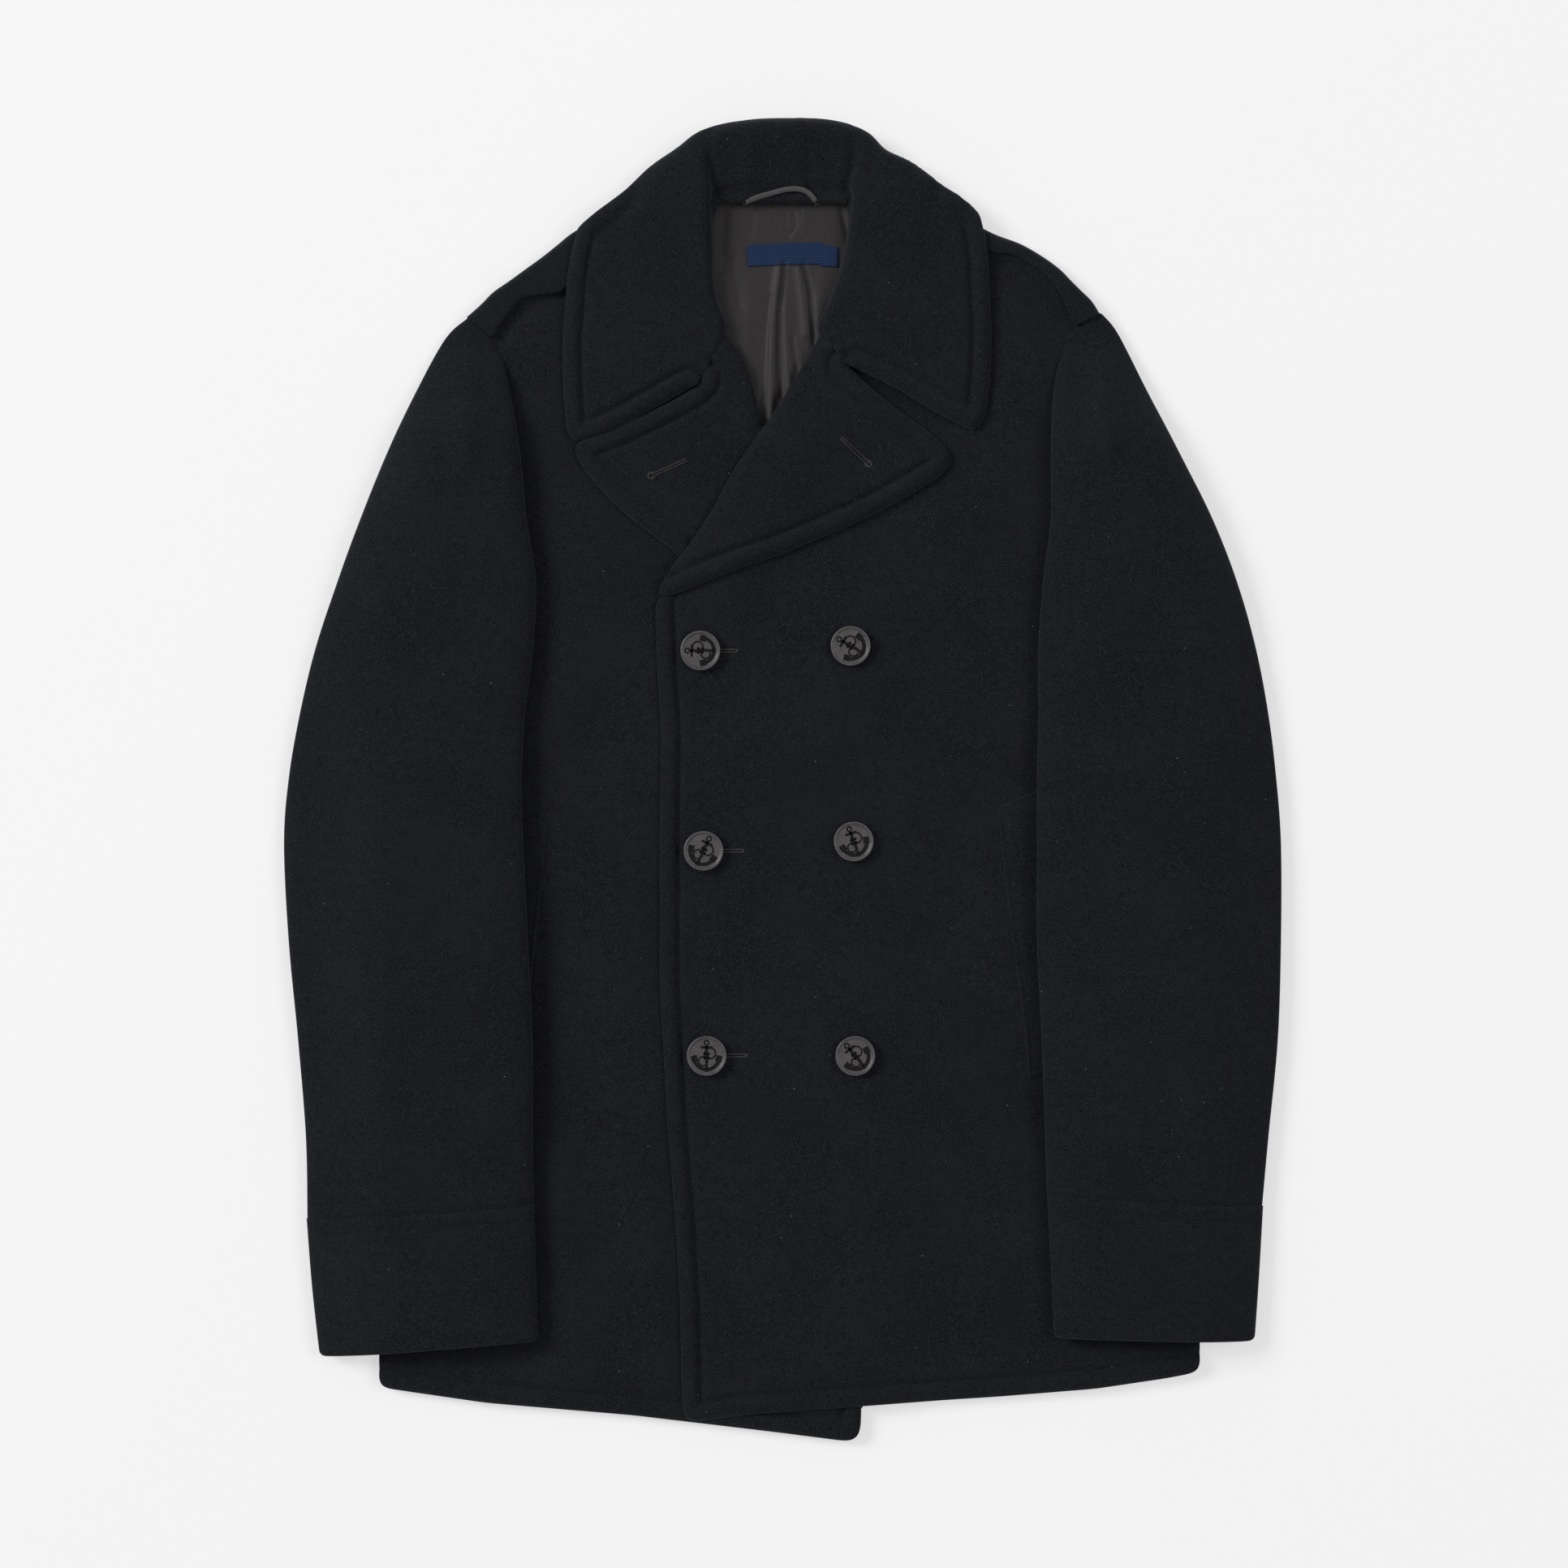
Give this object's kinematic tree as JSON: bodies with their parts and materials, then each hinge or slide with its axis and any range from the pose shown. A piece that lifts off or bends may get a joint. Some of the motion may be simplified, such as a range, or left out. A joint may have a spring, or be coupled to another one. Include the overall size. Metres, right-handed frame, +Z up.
{
  "type": "pea coat",
  "caption": "Double-breasted wool pea coat, laid flat on its back with its sleeves down and its outer front lapped over.",
  "frame": {"origin": "on the table under the middle of the laid coat's bounding box", "axes": "+Y towards the collar, +Z up from the table through the fronts, +X towards the wearer's left sleeve"},
  "size_m": [0.6392, 0.8474, 0.0261],
  "materials": {
    "navy_melton": "brushed navy wool melton, dull with a soft nap",
    "grey_satin": "grey-brown satin lining, softly glossy",
    "blue_weave": "blue damask label weave, bare",
    "pewter_button": "dark pewter-grey buttons with a raised rim and a sunk anchor"
  },
  "bodies": {
    "root": {"back": "navy_melton", "front_right": "navy_melton", "front_left": "navy_melton", "lapel_right": "navy_melton", "lapel_left": "navy_melton", "collar": "navy_melton", "sleeve_right_top": "navy_melton", "sleeve_right_under": "navy_melton", "sleeve_left_top": "navy_melton", "sleeve_left_under": "navy_melton", "cuff_right": "navy_melton", "cuff_left": "navy_melton", "pocket_welt_right": "navy_melton", "pocket_welt_left": "navy_melton", "back_lining": "grey_satin", "neck_label": "blue_weave", "size_tab": "blue_weave", "hanger_loop": "grey_satin", "button_hole_side_top": "pewter_button", "button_hole_side_middle": "pewter_button", "button_hole_side_bottom": "pewter_button", "button_show_side_top": "pewter_button", "button_show_side_middle": "pewter_button", "button_show_side_bottom": "pewter_button"}
  },
  "joints": []
}
